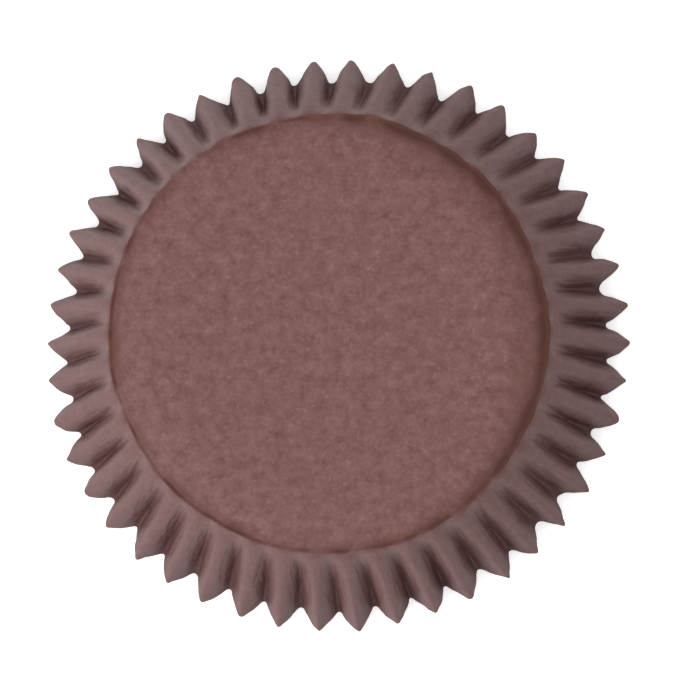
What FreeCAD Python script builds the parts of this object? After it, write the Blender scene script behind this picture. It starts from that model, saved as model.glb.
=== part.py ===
"""Fluted paper baking cup: one round sheet of greaseproof paper, pressed to shape.

The cup lies mouth down, as it comes to rest.  Its rim stands on z = 0, its flat
bottom faces up, and the origin is the middle of the rim.  Lengths are in mm.
"""

import math
import os

import FreeCAD
import Part

Vec = FreeCAD.Vector

# The cup
bottom_diameter = 50.0  # flat bottom, to the floor of the crease round it
rim_diameter = 67.8  # mouth, midway between the ridges and the valleys
cup_height = 27.0
paper_thickness = 0.1

# The flutes
flute_count = 46
ridge_bend = 0.6  # radius of the fold along a ridge, on the outer face
valley_bend = 0.4  # radius of the fold along a valley, on the outer face

# The pressed edge of the bottom: a crease, a level lip and a soft shoulder
crease_width = 0.7
crease_depth = 0.25
lip_width = 0.35  # from the crease out to the middle of the scalloped edge
lip_flutes = 0.5  # ridge to valley of the scalloped edge
shoulder_width = 0.6  # from that edge out to where the straight wall starts
shoulder_drop = 0.7  # from that edge down to the same place
shoulder_flutes = 0.7  # ridge to valley there

half_pitch = math.pi / flute_count
crease_inner = bottom_diameter / 2 - crease_width / 2
crease_outer = bottom_diameter / 2 + crease_width / 2
lip_radius = crease_outer + lip_width
shoulder_radius = lip_radius + shoulder_width
shoulder_height = cup_height - shoulder_drop
rim_radius = rim_diameter / 2


def polar(radius, angle, z=0.0):
    return Vec(radius * math.cos(angle), radius * math.sin(angle), z)


class Wave:
    """A level section through the flutes, on one face of the paper.

    Arcs on the ridges and in the valleys are joined by straight flanks that
    are tangent to both.  The inner face lies inset from the outer one."""

    def __init__(self, radius, depth, z=0.0, inset=0.0):
        room = half_pitch * radius
        widest = (room * room + depth * depth) / (2 * depth)
        ease = min(1.0, 0.8 * widest / (ridge_bend + valley_bend))
        self.tip = radius + depth / 2
        self.notch = radius - depth / 2
        self.ridge = ridge_bend * ease
        self.valley = valley_bend * ease
        self.z = z
        self.inset = inset

    def flank(self, angle, side):
        """Both ends of the flank on one side of the ridge at this angle."""
        ridge = polar(self.tip - self.ridge, angle, self.z)
        valley = polar(self.notch + self.valley, angle + side * half_pitch, self.z)
        across = valley - ridge
        along = across / across.Length
        out = Vec(along.y, -along.x, 0) * side
        lean = math.acos((self.ridge + self.valley) / across.Length)
        normal = along * math.cos(lean) + out * math.sin(lean)
        top = ridge + normal * (self.ridge - self.inset)
        foot = valley - normal * (self.valley + self.inset)
        return top, foot

    def paper(self):
        """Length of paper round the section."""
        top, foot = self.flank(0.0, 1)
        run = foot - top
        turn = math.acos(run.y / run.Length)
        bends = self.ridge * turn + self.valley * (turn - half_pitch)
        return 2 * flute_count * (run.Length + bends)

    def flute(self, number):
        """One flute as four lists of points: ridge, flank, valley, flank."""
        angle = 2 * half_pitch * number
        before, _ = self.flank(angle, -1)
        after, down = self.flank(angle, 1)
        ahead, up = self.flank(angle + 2 * half_pitch, -1)
        crest = polar(self.tip - self.inset, angle, self.z)
        floor = polar(self.notch - self.inset, angle + half_pitch, self.z)
        return [before, crest, after], [after, down], [down, floor, up], [up, ahead]

    def chords(self, number):
        """The same flute with straight lines for its arcs."""
        return [[points[0], points[-1]] for points in self.flute(number)]


def outline(flute):
    """The closed wire of a whole section."""
    runs = [points for number in range(flute_count) for points in flute(number)]
    return Part.Wire([edge(points) for points in runs])


def edge(points):
    """An arc through three points, or a line between two."""
    if len(points) == 3:
        return Part.Arc(*points).toShape()
    return Part.makeLine(*points)


def rim_flutes():
    """Ridge to valley at the rim.

    Paper does not stretch, so the flutes are as deep there as it takes for the
    rim to hold the whole edge of the flat sheet that the cup is pressed from."""
    shoulder = math.hypot(shoulder_width, shoulder_drop)
    wall = math.hypot(rim_radius - shoulder_radius, shoulder_height)
    sheet_edge = 2 * math.pi * (lip_radius + shoulder + wall)
    low = 0.01
    high = rim_radius
    for _ in range(50):
        depth = (low + high) / 2
        if Wave(rim_radius, depth).paper() < sheet_edge:
            low = depth
        else:
            high = depth
    return high


def flank_faces(above, below):
    """A flank that stands steeper at its lower end than at its upper one.

    The paper takes up the twist in four flat facets round the middle."""
    corners = [above[0], above[1], below[1], below[0]]
    middle = (corners[0] + corners[1] + corners[2] + corners[3]) / 4
    faces = []
    for a, b in zip(corners, corners[1:] + corners[:1]):
        faces.append(Part.Face(Part.makePolygon([a, b, middle, a])))
    return faces


def band(upper_flute, lower_flute):
    """One face of the paper between two sections."""
    faces = []
    for number in range(flute_count):
        for above, below in zip(upper_flute(number), lower_flute(number)):
            if len(below) == 3:
                faces.append(Part.makeRuledSurface(edge(above), edge(below)))
            else:
                faces += flank_faces(above, below)
    return faces


def bottom(lip):
    """One face of the flat bottom, with the crease pressed round it."""
    groove = Part.makePolygon(
        [
            Vec(crease_inner, 0, lip.z),
            Vec((crease_inner + crease_outer) / 2, 0, lip.z - crease_depth),
            Vec(crease_outer, 0, lip.z),
        ]
    )
    centre = Vec(0, 0, lip.z)
    disc = Part.Face(Part.Wire(Part.makeCircle(crease_inner, centre)))
    inside = Part.Wire(Part.makeCircle(crease_outer, centre))
    ledge = Part.Face([outline(lip.chords), inside])
    return [disc, ledge] + groove.revolve(Vec(0, 0, 0), Vec(0, 0, 1), 360).Faces


def paper_liner():
    rim_depth = rim_flutes()
    faces = []
    rims = []
    for inset in (0.0, paper_thickness):
        level = cup_height - inset
        lip = Wave(lip_radius, lip_flutes, level, inset)
        shoulder = Wave(shoulder_radius, shoulder_flutes, level - shoulder_drop, inset)
        rim = Wave(rim_radius, rim_depth, 0.0, inset)
        faces += bottom(lip)
        faces += band(lip.chords, shoulder.flute)
        faces += band(shoulder.flute, rim.flute)
        rims.append(outline(rim.flute))
    faces.append(Part.Face(rims))
    sheet = Part.makeCompound(faces)
    sheet.sewShape()
    liner = Part.Solid(sheet.Shells[0])
    if liner.Volume < 0:
        liner.reverse()
    return liner


def main():
    os.makedirs("parts", exist_ok=True)
    paper_liner().exportStep("parts/paper_liner.step")


if __name__ == "__main__":
    main()
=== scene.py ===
"""Fluted paper baking cup, pressed from one round sheet, lying mouth down."""

import math
import random

import bmesh
import bpy
from mathutils import Matrix, Vector, noise


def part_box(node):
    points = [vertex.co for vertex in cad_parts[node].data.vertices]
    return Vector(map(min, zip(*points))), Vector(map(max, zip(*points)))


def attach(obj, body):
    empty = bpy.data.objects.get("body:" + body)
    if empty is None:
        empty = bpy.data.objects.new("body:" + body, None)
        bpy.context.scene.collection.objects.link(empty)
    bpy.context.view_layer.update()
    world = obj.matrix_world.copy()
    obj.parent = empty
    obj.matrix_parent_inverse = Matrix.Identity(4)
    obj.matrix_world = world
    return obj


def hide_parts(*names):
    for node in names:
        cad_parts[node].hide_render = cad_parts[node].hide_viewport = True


bl_info = {
    "name": "Fluted baking cup",
    "version": (1, 0, 0),
    "blender": (4, 5, 0),
    "location": "3D View > Sidebar > Baking cup",
    "description": "Presses a round sheet of greaseproof paper into a fluted cup",
    "category": "Add Mesh",
}

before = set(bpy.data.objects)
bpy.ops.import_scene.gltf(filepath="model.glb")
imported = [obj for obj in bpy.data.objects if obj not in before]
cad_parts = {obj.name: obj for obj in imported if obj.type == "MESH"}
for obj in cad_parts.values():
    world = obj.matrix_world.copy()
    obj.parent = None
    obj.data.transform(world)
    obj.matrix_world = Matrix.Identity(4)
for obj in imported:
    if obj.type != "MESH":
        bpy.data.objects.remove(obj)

NODE = "paper_liner"
PIECE = "pressed_paper"
CUP_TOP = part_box(NODE)[1].z
MM = 0.001
TURN = 2 * math.pi

# Where the sheet is divided across half a flute, as shares of its length from
# the ridge to the valley: close together round the folds, wide on the flank.
FLUTE_STEPS = (0.0, 0.07, 0.15, 0.24, 0.35, 0.5, 0.66, 0.8, 0.9, 0.965)

# Radii at which the flat bottom is divided, in mm, and divisions of the rest.
BOTTOM_RINGS = (1, 3.5, 6, 8.5, 11, 13.5, 16, 18.3, 20.2, 21.2, 22.1, 22.9)
CREASE_APPROACH = (23.4, 23.8, 24.15)
CREASE_RINGS = (-1.4, -1, -0.7, -0.4, -0.15)  # in half widths of the crease
SHOULDER_RINGS = 5
WALL_RINGS = 14

# Uneven places: how far they reach, and how closely they follow each other.
WALL_WAVER = 0.09 * MM
WALL_WAVER_PACE = 260
BOTTOM_BULGE = 0.09 * MM
BOTTOM_BULGE_PACE = 95
RAGGED_EDGE = 0.14 * MM
RAGGED_EDGE_PACE = 900
CREASE_STRAY_PACE = 5.5
# Paces of the painted shade and dark line round the crease, and the side on which that
# painted shade is widest.
CREASE_SHADE_PACE = 9
CREASE_LINE_PACE = 16
CREASE_SHADE_SIDE = math.radians(18)

# Camera, with its place and way in metres and its lens in mm.
CAMERA_PLACE = (0.0200686, -0.0263201, 0.5074875)
CAMERA_WAY = (-0.0395861, 0.0537459, -0.9977697)
CAMERA_LENS = 223.9
CAMERA_SENSOR = 36.0
# The ridge that the solid has on +X lies this far round in the picture.
CAMERA_TURN = math.radians(-0.46)

# Key light, in metres.
KEY_SIZE = 0.5
KEY_REACH = 0.61
KEY_SIDE = math.radians(212)
KEY_HEIGHT = 0.43
LIT_SPOT = Vector((0, 0, 0.01))


class BakingCupForm(bpy.types.PropertyGroup):
    """Sizes of the pressed cup"""

    flutes: bpy.props.IntProperty(
        name="Flutes", description="Number of flutes round the wall", default=46, min=8
    )
    crease_radius: bpy.props.FloatProperty(
        name="Crease radius",
        description="Middle of the crease round the flat bottom",
        default=25.12 * MM,
        unit="LENGTH",
    )
    crease_width: bpy.props.FloatProperty(
        name="Crease width",
        description="Width of the crease between its two edges",
        default=0.9 * MM,
        unit="LENGTH",
    )
    crease_depth: bpy.props.FloatProperty(
        name="Crease depth",
        description="Mean depth of the crease",
        default=0.05 * MM,
        unit="LENGTH",
    )
    roll_start: bpy.props.FloatProperty(
        name="Roll start",
        description="Radius at which the flat bottom starts to roll down",
        default=19.5 * MM,
        unit="LENGTH",
    )
    roll_drop: bpy.props.FloatProperty(
        name="Roll drop",
        description="How far the bottom has rolled down at the crease",
        default=0.9 * MM,
        unit="LENGTH",
    )
    shoulder_start: bpy.props.FloatProperty(
        name="Shoulder start",
        description="Radius at which the sheet starts to turn down",
        default=25.3 * MM,
        unit="LENGTH",
    )
    shoulder_bend: bpy.props.FloatProperty(
        name="Shoulder bend",
        description="Radius of the turn from the bottom into the wall",
        default=0.3 * MM,
        unit="LENGTH",
    )
    rim_radius: bpy.props.FloatProperty(
        name="Rim radius",
        description="Mouth, midway between the ridges and the valleys",
        default=33.85 * MM,
        unit="LENGTH",
    )
    thickness: bpy.props.FloatProperty(
        name="Paper thickness",
        description="Thickness of the sheet",
        default=0.1 * MM,
        unit="LENGTH",
    )
    ridge_bend: bpy.props.FloatProperty(
        name="Ridge bend",
        description="Mean radius of the fold along a ridge at the rim",
        default=0.32 * MM,
        unit="LENGTH",
    )
    valley_bend: bpy.props.FloatProperty(
        name="Valley bend",
        description="Mean radius of the fold along a valley at the rim",
        default=0.45 * MM,
        unit="LENGTH",
    )
    soft_ridge: bpy.props.FloatProperty(
        name="Soft ridge",
        description="Radius of the fold along a ridge at the top of the wall",
        default=2.0 * MM,
        unit="LENGTH",
    )
    soft_valley: bpy.props.FloatProperty(
        name="Soft valley",
        description="Radius of the fold along a valley at the top of the wall",
        default=1.5 * MM,
        unit="LENGTH",
    )
    wall_ridge: bpy.props.FloatProperty(
        name="Wall ridge",
        description="Radius of the broad fold along a ridge halfway down the wall",
        default=0.8 * MM,
        unit="LENGTH",
    )
    wall_valley: bpy.props.FloatProperty(
        name="Wall valley",
        description="Radius of the tight fold along a valley halfway down the wall",
        default=0.1 * MM,
        unit="LENGTH",
    )
    fullness: bpy.props.FloatProperty(
        name="Fullness",
        description="How much deeper the flutes are halfway down than the sheet allows",
        default=0.2,
        min=0.0,
        max=1.0,
        subtype="FACTOR",
    )
    flank_swell: bpy.props.FloatProperty(
        name="Flank swell",
        description="Mean swell of a flute's side at the rim",
        default=0.09 * MM,
        unit="LENGTH",
    )
    scallop: bpy.props.FloatProperty(
        name="Scallop",
        description="How far the flutes push the crease in and out",
        default=0.03 * MM,
        unit="LENGTH",
    )
    wander: bpy.props.FloatProperty(
        name="Wander",
        description="How far the crease strays from a true circle",
        default=0.22 * MM,
        unit="LENGTH",
    )
    rim_clear: bpy.props.FloatProperty(
        name="Rim clearance",
        description="How far the valleys end above the floor at the rim",
        default=0.03 * MM,
        unit="LENGTH",
    )
    tip_lift: bpy.props.FloatProperty(
        name="Tip lift",
        description="How far the ridges end above the valleys at the rim",
        default=0.45 * MM,
        unit="LENGTH",
    )
    oval: bpy.props.FloatProperty(
        name="Oval",
        description="How far the mouth is pulled out of round",
        default=0.4 * MM,
        unit="LENGTH",
    )
    oval_turn: bpy.props.FloatProperty(
        name="Oval direction",
        description="Direction in which the mouth is longest",
        default=math.radians(17),
        subtype="ANGLE",
    )
    crowding: bpy.props.FloatProperty(
        name="Crowding",
        description="How far the flutes are shifted towards each other in places",
        default=math.radians(0.7),
        subtype="ANGLE",
    )
    unevenness: bpy.props.FloatProperty(
        name="Unevenness",
        description="How much one flute differs from the next",
        default=1.0,
        min=0.0,
        max=2.0,
        subtype="FACTOR",
    )
    seed: bpy.props.IntProperty(
        name="Seed", description="Start of the random differences", default=7
    )


class BakingCupPaper(bpy.types.PropertyGroup):
    """Look of the paper"""

    dark_brown: bpy.props.FloatVectorProperty(
        name="Dark brown",
        description="Colour of the dyed paper where its pulp is dense",
        default=(0.157, 0.084, 0.080),
        subtype="COLOR",
        size=3,
    )
    light_brown: bpy.props.FloatVectorProperty(
        name="Light brown",
        description="Colour of the dyed paper where its pulp is thin",
        default=(0.209, 0.127, 0.123),
        subtype="COLOR",
        size=3,
    )
    # Colour of the painted shade and dark line at the crease.
    crease_shade_brown: bpy.props.FloatVectorProperty(
        name="Fold brown",
        description="Colour of the dark line and shade at the crease",
        default=(0.105, 0.052, 0.045),
        subtype="COLOR",
        size=3,
    )
    # Warmer colour of the painted shade in some places along the crease.
    warm_crease_shade: bpy.props.FloatVectorProperty(
        name="Warm crease shade",
        description="Warmer colour of some places along the crease",
        default=(0.128, 0.065, 0.049),
        subtype="COLOR",
        size=3,
    )
    # Colour and strength of the painted shade in the valleys of the flutes.
    valley_shade_brown: bpy.props.FloatVectorProperty(
        name="Valley shade brown",
        description="Colour of the tint in the valleys",
        default=(0.055, 0.019, 0.017),
        subtype="COLOR",
        size=3,
    )
    valley_shade_strength: bpy.props.FloatProperty(
        name="Valley shade",
        description="Strength of the tint in the valleys",
        default=0.26,
        min=0.0,
        max=1.0,
        subtype="FACTOR",
    )


class BakingCupStage(bpy.types.PropertyGroup):
    """Floor, lights and camera"""

    floor_colour: bpy.props.FloatVectorProperty(
        name="Floor",
        description="Colour of the floor",
        default=(0.93, 0.93, 0.93),
        subtype="COLOR",
        size=3,
    )
    sky: bpy.props.FloatProperty(
        name="Sky", description="Strength of the even light all round", default=1.24
    )
    key: bpy.props.FloatProperty(
        name="Key light",
        description="Power of the large soft light on the left",
        default=1.95,
        unit="POWER",
    )


def settings():
    return bpy.context.scene.baking_cup


def smooth(low, high, value):
    """0 below low, 1 above high, and an even rise between them."""
    share = min(1.0, max(0.0, (value - low) / (high - low)))
    return share * share * (3 - 2 * share)


def polar(radius, angle):
    return Vector((radius * math.cos(angle), radius * math.sin(angle)))


class Fold:
    """Half a flute in plan, from the ridge to the valley next to it.

    Two arcs are joined by a straight flank that is tangent to both."""

    def __init__(self, tip, notch, ridge_angle, valley_angle, ridge_bend, valley_bend):
        side = 1 if valley_angle > ridge_angle else -1
        room = abs(valley_angle - ridge_angle) * (tip + notch) / 2
        depth = max(tip - notch, 1e-7)
        widest = (room * room + depth * depth) / (2 * depth)
        ease = min(1.0, 0.92 * widest / (ridge_bend + valley_bend))
        self.ridge = ridge_bend * ease
        self.valley = valley_bend * ease
        self.ridge_middle = polar(tip - self.ridge, ridge_angle)
        self.valley_middle = polar(notch + self.valley, valley_angle)
        across = self.valley_middle - self.ridge_middle
        along = across.normalized()
        out = Vector((along.y, -along.x)) * side
        lean = math.acos(min(1.0, (self.ridge + self.valley) / across.length))
        normal = along * math.cos(lean) + out * math.sin(lean)
        self.top = self.ridge_middle + normal * self.ridge
        self.foot = self.valley_middle - normal * self.valley
        self.crest_way = polar(1.0, ridge_angle)
        self.floor_way = -polar(1.0, valley_angle)
        self.ridge_turn = signed_turn(self.crest_way, normal)
        self.valley_turn = signed_turn(-normal, self.floor_way)
        self.foot_way = -normal
        self.parts = (
            abs(self.ridge_turn) * self.ridge,
            (self.foot - self.top).length,
            abs(self.valley_turn) * self.valley,
        )
        self.length = sum(self.parts)
        self.swell = 0.0
        self.normal = normal

    def point(self, share):
        """Point at this share of the length from the ridge."""
        run = share * self.length
        arc, flank, last = self.parts
        if run < arc:
            way = turned(self.crest_way, self.ridge_turn * run / arc)
            return self.ridge_middle + way * self.ridge
        run -= arc
        if run < flank:
            swell = self.swell * math.sin(math.pi * run / flank)
            return self.top.lerp(self.foot, run / flank) + self.normal * swell
        run = min(run - flank, last)
        way = turned(self.foot_way, self.valley_turn * run / last)
        return self.valley_middle + way * self.valley


def signed_turn(a, b):
    return math.atan2(a.x * b.y - a.y * b.x, a.dot(b))


def turned(way, angle):
    c, s = math.cos(angle), math.sin(angle)
    return Vector((way.x * c - way.y * s, way.x * s + way.y * c))


class Press:
    """The die: where each point of the flat sheet ends up."""

    def __init__(self, form):
        self.form = form
        self.pitch = TURN / form.flutes
        rise = CUP_TOP - form.roll_drop
        # The wall starts where the shoulder has turned to the wall's slope.
        slope = 0.0
        for _ in range(20):
            end = form.shoulder_start + form.shoulder_bend * math.cos(slope)
            drop = form.shoulder_bend * (1 - math.sin(slope))
            slope = math.atan2(form.rim_radius - end, rise - drop)
        self.wall_radius = end
        self.wall_height = rise - drop
        self.shoulder_length = form.shoulder_bend * (math.pi / 2 - slope)
        self.wall_start = form.shoulder_start + self.shoulder_length
        self.wall_length = math.hypot(form.rim_radius - end, rise - drop)
        self.sheet_radius = self.wall_start + self.wall_length
        self.draw_flutes()

    def draw_flutes(self):
        """The small differences between flutes, the same on every run."""
        form = self.form
        dice = random.Random(form.seed)
        uneven = form.unevenness
        self.ridges, self.valleys = [], []
        for number in range(form.flutes):
            for which, flutes in ((0.0, self.ridges), (0.5, self.valleys)):
                angle = (number + which) * self.pitch
                shift = form.crowding * math.cos(2 * angle + math.radians(114))
                shift += form.crowding * 0.39 * math.cos(angle - math.radians(64))
                flutes.append(
                    {
                        "angle": angle + shift,
                        "stray": math.radians(0.17) * dice.gauss(0, 1) * uneven,
                        "reach": 0.13 * MM * dice.gauss(0, 1) * uneven,
                        "lift": 0.12 * MM * dice.random() * uneven,
                        "bend": 0.5 * dice.gauss(0, 1) * uneven,
                        "swell": max(0.0, 1 + 0.8 * dice.gauss(0, 1) * uneven),
                        "press": math.exp(0.5 * dice.gauss(0, 1) * uneven),
                    }
                )

    def section(self, sheet):
        """(mean radius, height) of the sheet at this distance from its middle."""
        form = self.form
        if sheet <= form.shoulder_start:
            roll = (sheet - form.roll_start) / (form.crease_radius - form.roll_start)
            return sheet, CUP_TOP - form.roll_drop * min(1.0, max(0.0, roll)) ** 2
        if sheet <= self.wall_start:
            turn = (sheet - form.shoulder_start) / form.shoulder_bend
            return (
                form.shoulder_start + form.shoulder_bend * math.sin(turn),
                CUP_TOP - form.roll_drop - form.shoulder_bend * (1 - math.cos(turn)),
            )
        share = (sheet - self.wall_start) / self.wall_length
        return (
            self.wall_radius + (form.rim_radius - self.wall_radius) * share,
            self.wall_height * (1 - share) + form.rim_clear * share,
        )

    def depth(self, sheet, radius):
        """Ridge to valley at this distance from the sheet's middle.

        It starts from the depth at which the flutes hold just the paper that is
        there.  It is then made less at the top of the wall and more in its
        middle, so there the paper is longer than the flat sheet would allow."""
        form = self.form
        paper = self.pitch / 2 * sheet
        if paper <= self.pitch / 2 * radius * 1.0005:
            return 0.0
        low, high = 0.0, 5 * MM
        for _ in range(24):
            depth = (low + high) / 2
            bends = self.bends(sheet)
            fold = Fold(
                radius + depth / 2, radius - depth / 2, 0.0, self.pitch / 2, *bends
            )
            if fold.length < paper:
                low = depth
            else:
                high = depth
        down = max(0.0, (sheet - self.wall_start) / self.wall_length)
        soft_start = 0.6 + 0.4 * smooth(0.0, 0.2, down)
        return high * (soft_start + form.fullness * (1 - down) * smooth(0.1, 0.4, down))

    def bends(self, sheet):
        """Fold radii of a ridge and a valley: both soft at the top of the wall,
        then broad ridges over tight valleys, and sharp ridges at the rim."""
        form = self.form
        down = (sheet - self.wall_start) / self.wall_length
        top, rim = 1 - smooth(0.02, 0.38, down), smooth(0.6, 1.0, down)
        ridge = form.wall_ridge + (form.soft_ridge - form.wall_ridge) * top
        valley = form.wall_valley + (form.soft_valley - form.wall_valley) * top
        ridge += (form.ridge_bend - form.wall_ridge) * rim
        valley += (form.valley_bend - form.wall_valley) * rim
        return ridge, valley

    def ring(self, sheet):
        """Points of the ring of the sheet at this distance from its middle."""
        form = self.form
        radius, height = self.section(sheet)
        depth = self.depth(sheet, radius)
        down = smooth(self.wall_start, self.sheet_radius, sheet)
        # The die's flutes push the crease in and out a little.
        pressed = form.scallop * smooth(
            form.crease_radius - 1.6 * MM, form.crease_radius - 0.2 * MM, sheet
        )
        pressed *= 1 - smooth(
            self.wall_start - 0.5 * MM, self.wall_start + 3 * MM, sheet
        )
        share = max(0.0, (sheet - self.wall_start) / self.wall_length)
        ridge_bend, valley_bend = self.bends(sheet)
        fluted = smooth(form.crease_radius - 1.6 * MM, form.crease_radius, sheet)
        stray = form.wander * smooth(
            form.crease_radius - 2.5 * MM, form.crease_radius, sheet
        )
        stray *= 1 - smooth(self.wall_start, self.wall_start + 4 * MM, sheet)
        points = []
        for half in range(2 * form.flutes):
            number = half // 2
            ridge = self.ridges[(half + 1) // 2 % form.flutes]
            valley = self.valleys[number]
            ridge_angle = ridge["angle"] + ridge["stray"] * share
            valley_angle = valley["angle"] + valley["stray"] * share
            if half == 2 * form.flutes - 1:
                ridge_angle += TURN

            def reach(flute, angle):
                pull = form.oval * math.cos(2 * (angle - form.oval_turn))
                pull -= 0.4 * form.oval * math.cos(4 * angle)
                return pull * share + flute["reach"] * down

            fold = Fold(
                radius
                + depth / 2
                + reach(ridge, ridge_angle)
                + pressed * ridge["press"],
                radius
                - depth / 2
                + reach(valley, valley_angle)
                - pressed * valley["press"],
                ridge_angle,
                valley_angle,
                ridge_bend * math.exp(ridge["bend"] * share),
                valley_bend * math.exp(valley["bend"] * share),
            )
            fold.swell = form.flank_swell * share * share
            fold.swell *= (ridge if half % 2 else valley)["swell"]
            rising = half % 2 == 1
            for i in range(len(FLUTE_STEPS)):
                step = 1 - FLUTE_STEPS[i] if rising else FLUTE_STEPS[i]
                spot = fold.point(step)
                if sheet < form.crease_radius:
                    turn = ridge_angle + (valley_angle - ridge_angle) * step
                    spot = polar(radius, turn).lerp(spot, fluted)
                # Ridges end a little higher than valleys.
                crest = 0.5 + 0.5 * math.cos(math.pi * step)
                z = height
                z += share * (
                    crest * (form.tip_lift + ridge["lift"])
                    + (1 - crest) * valley["lift"]
                )
                z -= self.groove(sheet, crest)
                flat = (half + (1 - step if rising else step)) * self.pitch / 2
                spot += polar(stray * along_crease(flat, CREASE_STRAY_PACE), flat)
                points.append((Vector((spot.x, spot.y, z)), flat, crest))
        return points

    def groove(self, sheet, crest):
        form = self.form
        off = abs(sheet - form.crease_radius) / (form.crease_width / 2)
        if off >= 1:
            return 0.0
        depth = form.crease_depth * (0.75 + 0.5 * crest)
        return depth * (0.5 + 0.5 * math.cos(math.pi * off))


def ring_distances(press):
    """Distances from the middle of the sheet at which it is divided."""
    form = press.form
    crease = form.crease_radius
    flat = [x * MM for x in BOTTOM_RINGS + CREASE_APPROACH]
    half = form.crease_width / 2
    inside_crease = [crease + half * k for k in CREASE_RINGS]
    start, bend = form.shoulder_start, press.shoulder_length
    inside_crease += [crease, crease + 0.09 * MM]
    shoulder = [start + bend * k / SHOULDER_RINGS for k in range(SHOULDER_RINGS + 1)]
    wall = [
        press.wall_start + press.wall_length * (k / WALL_RINGS) ** 1.15
        for k in range(1, WALL_RINGS + 1)
    ]
    return flat + inside_crease + shoulder + wall


class BAKINGCUP_OT_press_paper(bpy.types.Operator):
    """Press the round sheet of paper into the fluted cup"""

    bl_idname = "bakingcup.press_paper"
    bl_label = "Press paper"

    def execute(self, context):
        form = settings().form
        press = Press(form)
        distances = ring_distances(press)
        columns = 2 * form.flutes * len(FLUTE_STEPS)
        bm = bmesh.new()
        line = [bm.verts.new((0, 0, 0))] + [bm.verts.new((d, 0, 0)) for d in distances]
        for a, b in zip(line, line[1:]):
            bm.edges.new((a, b))
        bmesh.ops.spin(
            bm,
            geom=bm.verts[:] + bm.edges[:],
            cent=(0, 0, 0),
            axis=(0, 0, 1),
            angle=TURN,
            steps=columns,
            use_merge=True,
            use_duplicate=False,
        )
        bmesh.ops.remove_doubles(bm, verts=bm.verts[:], dist=1e-7)
        bmesh.ops.recalc_face_normals(bm, faces=bm.faces[:])
        if sum(f.normal.z for f in bm.faces) < 0:
            bmesh.ops.reverse_faces(bm, faces=bm.faces[:])
        rings = [press.ring(d) for d in distances]
        mould(bm, press, distances, rings, columns)
        # The sheet's thickness follows its new shape.
        bm.normal_update()
        bmesh.ops.solidify(bm, geom=bm.faces[:], thickness=form.thickness)
        mesh = bpy.data.meshes.new(PIECE)
        bm.to_mesh(mesh)
        bm.free()
        mesh.shade_smooth()
        mesh.set_sharp_from_angle(angle=math.radians(60))
        piece = bpy.data.objects.new(PIECE, mesh)
        context.scene.collection.objects.link(piece)
        mesh.materials.append(paper_material())
        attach(piece, "root")
        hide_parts(NODE)
        return {"FINISHED"}


def mould(bm, press, distances, rings, columns):
    """Move each point of the flat sheet to its place in the cup."""
    form = press.form
    sheet_uv = bm.loops.layers.uv.new("sheet")
    crease_shade_layer = bm.verts.layers.float.new("fold")
    wall_layer = bm.verts.layers.float.new("wall")
    valley_shade_layer = bm.verts.layers.float.new("valley_shade")
    along_layer = bm.verts.layers.float_vector.new("along")
    where = {}
    for v in bm.verts:
        distance = v.co.length
        if distance < 1e-6:
            where[v] = None
            v.co.z = CUP_TOP + bulge(v.co)
            continue
        row = min(range(len(distances)), key=lambda i: abs(distances[i] - distance))
        angle = math.atan2(v.co.y, v.co.x) % TURN
        column = round(angle / TURN * columns) % columns
        where[v] = (row, column)
    for face in bm.faces:
        for loop in face.loops:
            spot = where[loop.vert]
            if spot is None:
                loop[sheet_uv].uv = (0.5, 0.5)
                continue
            flat = rings[spot[0]][spot[1]][1]
            reach = distances[spot[0]] / press.sheet_radius / 2
            loop[sheet_uv].uv = (
                0.5 + reach * math.cos(flat),
                0.5 + reach * math.sin(flat),
            )
    for v, spot in where.items():
        if spot is None:
            continue
        row, column = spot
        point, angle, crest = rings[row][column]
        sheet = distances[row]
        v.co = point
        if sheet < form.crease_radius:
            inside = 1 - smooth(20 * MM, form.crease_radius, sheet)
            v.co.z += bulge(point) * inside
        else:
            wobble(v, press, sheet)
        v[wall_layer] = smooth(press.wall_start, press.wall_start + 2 * MM, sheet)
        down = smooth(press.wall_start + MM, press.wall_start + 13 * MM, sheet)
        # Painted shade in the valleys, growing down the wall; it also makes them
        # duller.
        v[valley_shade_layer] = down * (
            1 - 0.45 * smooth(0.0, 0.06, crest) - 0.55 * smooth(0.05, 0.5, crest)
        )
        # Painted shade round the crease, kept in the "fold" attribute.
        v[crease_shade_layer] = painted_crease_shade(form, sheet, angle)
        v[along_layer] = (math.cos(angle), math.sin(angle), sheet)


def painted_crease_shade(form, sheet, angle):
    """Painted shade round the crease: a narrow uneven dark line, partly the crease's
    own darker paper and partly painted shade, and a soft painted shade inside it that
    is wider on one side, away from the key light.  Both stay when the cup is lit from
    elsewhere."""
    off = sheet - form.crease_radius
    if off > 0:
        line = 1 - smooth(0.2 * MM, 0.6 * MM, off)
    else:
        line = 1 - smooth(-0.2 * MM, 1.6 * MM, -off)
    side = smooth(0.0, 1.0, math.cos(angle - CREASE_SHADE_SIDE))
    line *= 0.5 + 0.32 * side + 0.7 * along_crease(angle, CREASE_SHADE_PACE)
    core = 1 - smooth(0.05 * MM, 0.3 * MM, abs(off - 0.1 * MM))
    line += core * (0.2 + 0.5 * along_crease(angle + 1, CREASE_LINE_PACE))
    inwards = 1.4 * MM + 4.2 * MM * side
    shade = (0.1 + 0.35 * side) * (1 - smooth(0.0, inwards, -off))
    if off > 0:
        shade *= 1 - smooth(0.0, 0.6 * MM, off)
    return min(1.0, max(0.0, line) + shade)


def along_crease(angle, pace):
    """Smooth uneven value, about -0.5 to 0.5, that closes on itself round the cup."""
    return noise.noise(Vector((math.cos(angle), math.sin(angle), 0.3)) * pace)


def bulge(point):
    """Soft unevenness of the flat bottom."""
    return BOTTOM_BULGE * noise.noise(
        Vector((point[0], point[1], 0)) * BOTTOM_BULGE_PACE
    )


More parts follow.
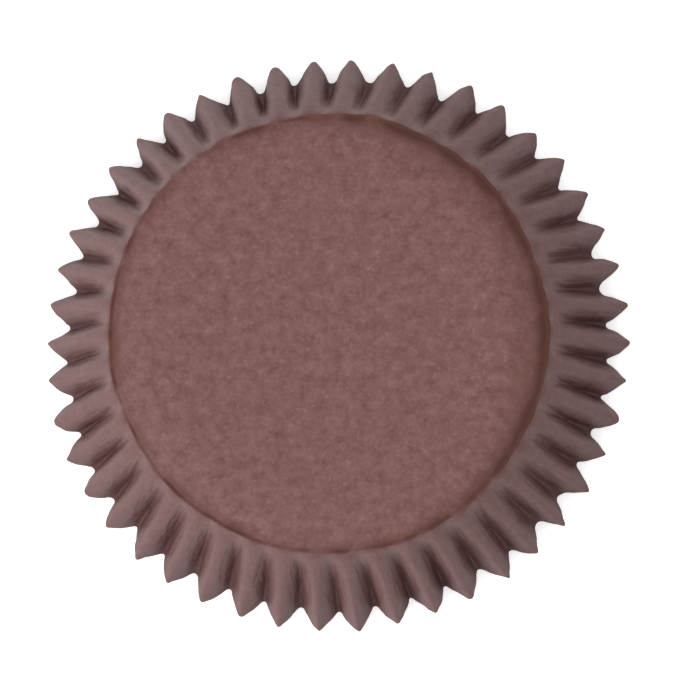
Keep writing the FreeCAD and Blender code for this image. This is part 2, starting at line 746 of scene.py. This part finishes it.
def wobble(v, press, sheet):
    """Soft unevenness of the wall."""
    share = smooth(press.wall_start, press.wall_start + 6 * MM, sheet)
    out = Vector((v.co.x, v.co.y, 0)).normalized()
    v.co += out * (WALL_WAVER * share * noise.noise(v.co * WALL_WAVER_PACE))
    # The cut edge is a little ragged.  noise_vector has no fixed seed here, so
    # this edge alone differs from run to run.
    share = smooth(press.sheet_radius - 3 * MM, press.sheet_radius, sheet)
    ragged = noise.noise_vector(v.co * RAGGED_EDGE_PACE) * (RAGGED_EDGE * share)
    v.co += Vector((ragged.x, ragged.y, abs(ragged.z)))


def new_node(tree, kind, **inputs):
    node = tree.nodes.new(kind)
    for name, value in inputs.items():
        node.inputs[name.replace("_", " ")].default_value = value
    return node


def attribute_node(tree, name):
    node = tree.nodes.new("ShaderNodeAttribute")
    node.attribute_name = name
    return node


def paper_material():
    paper = settings().paper
    material = bpy.data.materials.new("Brown greaseproof paper")
    material.use_nodes = True
    tree = material.node_tree
    link = tree.links.new
    shader = tree.nodes["Principled BSDF"]
    shader.inputs["Specular IOR Level"].default_value = 0.14
    spot = new_node(tree, "ShaderNodeUVMap")
    spot.uv_map = "sheet"
    cloud = new_node(
        tree, "ShaderNodeTexNoise", Scale=66.0, Detail=2.3, Roughness=0.85
    )
    fibre = new_node(
        tree, "ShaderNodeTexNoise", Scale=420.0, Detail=2.0, Roughness=0.6
    )
    for texture in (cloud, fibre):
        link(spot.outputs["UV"], texture.inputs["Vector"])
    mix = tree.nodes.new("ShaderNodeMix")
    mix.data_type = "FLOAT"
    mix.inputs["Factor"].default_value = 0.1
    link(cloud.outputs["Fac"], mix.inputs["A"])
    link(fibre.outputs["Fac"], mix.inputs["B"])
    spread = tree.nodes.new("ShaderNodeMapRange")
    spread.inputs["From Min"].default_value = 0.33
    spread.inputs["From Max"].default_value = 0.67
    spread.clamp = False
    link(mix.outputs["Result"], spread.inputs["Value"])
    # Stray light fibres.
    strand = new_node(tree, "ShaderNodeTexNoise", Scale=210.0, Detail=1.0)
    link(spot.outputs["UV"], strand.inputs["Vector"])
    fleck = new_node(tree, "ShaderNodeMapRange", From_Min=0.62, From_Max=0.72)
    fleck.inputs["To Max"].default_value = 0.55
    link(strand.outputs["Fac"], fleck.inputs["Value"])
    flecked = new_node(tree, "ShaderNodeMath")
    link(spread.outputs["Result"], flecked.inputs[0])
    link(fleck.outputs["Result"], flecked.inputs[1])
    wall = attribute_node(tree, "wall")
    calm = tree.nodes.new("ShaderNodeMix")
    calm.data_type = "FLOAT"
    calm.inputs["B"].default_value = 0.5
    calmed = new_node(tree, "ShaderNodeMath")
    calmed.operation = "MULTIPLY"
    calmed.inputs[1].default_value = 0.5
    link(wall.outputs["Fac"], calmed.inputs[0])
    link(calmed.outputs["Value"], calm.inputs["Factor"])
    link(flecked.outputs["Value"], calm.inputs["A"])
    mottled = tree.nodes.new("ShaderNodeMix")
    mottled.data_type = "RGBA"
    mottled.clamp_factor = False
    mottled.inputs["A"].default_value = (*paper.dark_brown, 1)
    mottled.inputs["B"].default_value = (*paper.light_brown, 1)
    link(calm.outputs["Result"], mottled.inputs["Factor"])

    # Painted shade: the valleys are tinted darker, on top of the shade that the light
    # gives.
    valley_shade = attribute_node(tree, "valley_shade")
    deep = tree.nodes.new("ShaderNodeMath")
    deep.operation = "MULTIPLY"
    deep.inputs[1].default_value = paper.valley_shade_strength
    link(valley_shade.outputs["Fac"], deep.inputs[0])
    valley_shaded = tree.nodes.new("ShaderNodeMix")
    valley_shaded.data_type = "RGBA"
    valley_shaded.inputs["B"].default_value = (*paper.valley_shade_brown, 1)
    link(deep.outputs["Value"], valley_shaded.inputs["Factor"])
    dull = new_node(tree, "ShaderNodeMapRange", To_Min=0.5, To_Max=0.63)
    link(valley_shade.outputs["Fac"], dull.inputs["Value"])
    link(dull.outputs["Result"], shader.inputs["Roughness"])
    link(mottled.outputs["Result"], valley_shaded.inputs["A"])

    # The crease gets painted shade, dark brown with warmer patches.
    patch = new_node(tree, "ShaderNodeTexNoise", Scale=26.0, Detail=1.0)
    link(spot.outputs["UV"], patch.inputs["Vector"])
    # Warmer patches of the painted shade along the crease.
    warm_patches = new_node(tree, "ShaderNodeMapRange", From_Min=0.56, From_Max=0.66)
    link(patch.outputs["Fac"], warm_patches.inputs["Value"])
    crease_shade_colour = tree.nodes.new("ShaderNodeMix")
    crease_shade_colour.data_type = "RGBA"
    crease_shade_colour.inputs["A"].default_value = (*paper.crease_shade_brown, 1)
    crease_shade_colour.inputs["B"].default_value = (*paper.warm_crease_shade, 1)
    link(warm_patches.outputs["Result"], crease_shade_colour.inputs["Factor"])
    # The "fold" attribute holds the painted shade round the crease.
    fold = attribute_node(tree, "fold")
    crease_shaded = tree.nodes.new("ShaderNodeMix")
    crease_shaded.data_type = "RGBA"
    link(fold.outputs["Fac"], crease_shaded.inputs["Factor"])
    link(valley_shaded.outputs["Result"], crease_shaded.inputs["A"])
    link(crease_shade_colour.outputs["Result"], crease_shaded.inputs["B"])
    link(crease_shaded.outputs["Result"], shader.inputs["Base Color"])

    # Fine wrinkles run down the wall.
    along = attribute_node(tree, "along")
    stretch = new_node(tree, "ShaderNodeMapping", Scale=(1, 1, 3.2))
    link(along.outputs["Vector"], stretch.inputs["Vector"])
    wrinkle = new_node(
        tree, "ShaderNodeTexNoise", Scale=34.0, Detail=2.0, Roughness=0.6
    )
    link(stretch.outputs["Vector"], wrinkle.inputs["Vector"])
    wrinkled = new_node(tree, "ShaderNodeMath")
    wrinkled.operation = "MULTIPLY"
    link(wrinkle.outputs["Fac"], wrinkled.inputs[0])
    link(wall.outputs["Fac"], wrinkled.inputs[1])
    creasing = new_node(tree, "ShaderNodeBump", Strength=0.6, Distance=0.0004)
    link(wrinkled.outputs["Value"], creasing.inputs["Height"])
    bump = new_node(tree, "ShaderNodeBump", Strength=0.22, Distance=0.00006)
    link(mix.outputs["Result"], bump.inputs["Height"])
    link(creasing.outputs["Normal"], bump.inputs["Normal"])
    link(bump.outputs["Normal"], shader.inputs["Normal"])
    return material


class BAKINGCUP_OT_set_stage(bpy.types.Operator):
    """Set out the floor, the lights and the camera"""

    bl_idname = "bakingcup.set_stage"
    bl_label = "Set stage"

    def execute(self, context):
        scene = context.scene
        stage = settings().stage
        bm = bmesh.new()
        bmesh.ops.create_grid(bm, x_segments=2, y_segments=2, size=1.5)
        mesh = bpy.data.meshes.new("floor")
        bm.to_mesh(mesh)
        bm.free()
        floor = bpy.data.objects.new("floor", mesh)
        scene.collection.objects.link(floor)
        # The floor doesn't light the cup from below.
        floor.visible_diffuse = False
        material = bpy.data.materials.new("Pale floor")
        material.use_nodes = True
        shader = material.node_tree.nodes["Principled BSDF"]
        shader.inputs["Base Color"].default_value = (*stage.floor_colour, 1)
        shader.inputs["Roughness"].default_value = 0.9
        shader.inputs["Specular IOR Level"].default_value = 0.1
        shader.inputs["Emission Color"].default_value = (1, 1, 1, 1)
        shader.inputs["Emission Strength"].default_value = 0.3
        mesh.materials.append(material)

        world = bpy.data.worlds.new("Soft sky")
        scene.world = world
        world.use_nodes = True
        sky = world.node_tree.nodes["Background"]
        sky.inputs["Strength"].default_value = stage.sky
        way = world.node_tree.nodes.new("ShaderNodeTexCoord")
        split = world.node_tree.nodes.new("ShaderNodeSeparateXYZ")
        ramp = world.node_tree.nodes.new("ShaderNodeMapRange")
        ramp.interpolation_type = "SMOOTHSTEP"
        ramp.inputs["From Min"].default_value = 0.0
        ramp.inputs["From Max"].default_value = 0.55
        world.node_tree.links.new(way.outputs["Generated"], split.inputs["Vector"])
        world.node_tree.links.new(split.outputs["Z"], ramp.inputs["Value"])
        # The sky is darker straight above.  It is black at the horizon.
        shade = world.node_tree.nodes.new("ShaderNodeMapRange")
        shade.interpolation_type = "SMOOTHSTEP"
        shade.inputs["From Min"].default_value = 0.75
        shade.inputs["From Max"].default_value = 1.0
        shade.inputs["To Min"].default_value = 1.0
        shade.inputs["To Max"].default_value = 0.25
        world.node_tree.links.new(split.outputs["Z"], shade.inputs["Value"])
        light = world.node_tree.nodes.new("ShaderNodeMath")
        light.operation = "MULTIPLY"
        world.node_tree.links.new(ramp.outputs["Result"], light.inputs[0])
        world.node_tree.links.new(shade.outputs["Result"], light.inputs[1])
        world.node_tree.links.new(light.outputs["Value"], sky.inputs["Color"])

        lamp = bpy.data.lights.new("Key light", "AREA")
        lamp.shape = "DISK"
        lamp.size = KEY_SIZE
        lamp.energy = stage.key
        key = bpy.data.objects.new("Key light", lamp)
        scene.collection.objects.link(key)
        key.location = polar(KEY_REACH, KEY_SIDE).to_3d() + Vector((0, 0, KEY_HEIGHT))
        key.rotation_euler = (
            (LIT_SPOT - key.location).to_track_quat("-Z", "Y").to_euler()
        )

        lens = bpy.data.cameras.new("Camera")
        lens.sensor_width = CAMERA_SENSOR
        lens.lens = CAMERA_LENS
        lens.clip_start = 0.01
        camera = bpy.data.objects.new("Camera", lens)
        scene.collection.objects.link(camera)
        look = Vector(CAMERA_WAY).normalized()
        right = Vector((1, 0, 0))
        right = (right - look * right.dot(look)).normalized()
        up = right.cross(look)
        place = Matrix((right, up, -look)).transposed().to_4x4()
        place.translation = Vector(CAMERA_PLACE)
        camera.matrix_world = Matrix.Rotation(CAMERA_TURN, 4, "Z") @ place
        scene.camera = camera
        scene.view_settings.view_transform = "Standard"
        scene.view_settings.look = "High Contrast"
        return {"FINISHED"}


class BakingCupSettings(bpy.types.PropertyGroup):
    """All settings of the baking cup"""

    form: bpy.props.PointerProperty(type=BakingCupForm, name="Form")
    paper: bpy.props.PointerProperty(type=BakingCupPaper, name="Paper")
    stage: bpy.props.PointerProperty(type=BakingCupStage, name="Stage")


class BAKINGCUP_PT_sidebar(bpy.types.Panel):
    """Baking cup tools"""

    bl_label = "Baking cup"
    bl_idname = "BAKINGCUP_PT_sidebar"
    bl_space_type = "VIEW_3D"
    bl_region_type = "UI"
    bl_category = "Baking cup"

    def draw(self, context):
        layout = self.layout
        cup = context.scene.baking_cup
        for group, button in (
            (cup.form, None),
            (cup.paper, BAKINGCUP_OT_press_paper.bl_idname),
            (cup.stage, BAKINGCUP_OT_set_stage.bl_idname),
        ):
            box = layout.box()
            for name in group.bl_rna.properties.keys():
                if name not in ("rna_type", "name"):
                    box.prop(group, name)
            if button:
                box.operator(button)


CLASSES = (
    BakingCupForm,
    BakingCupPaper,
    BakingCupStage,
    BakingCupSettings,
    BAKINGCUP_OT_press_paper,
    BAKINGCUP_OT_set_stage,
    BAKINGCUP_PT_sidebar,
)


def register():
    for cls in CLASSES:
        bpy.utils.register_class(cls)
    bpy.types.Scene.baking_cup = bpy.props.PointerProperty(type=BakingCupSettings)


def unregister():
    del bpy.types.Scene.baking_cup
    for cls in reversed(CLASSES):
        bpy.utils.unregister_class(cls)


def main():
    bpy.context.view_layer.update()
    register()
    bpy.ops.bakingcup.press_paper()
    bpy.ops.bakingcup.set_stage()


if __name__ == "__main__":
    main()
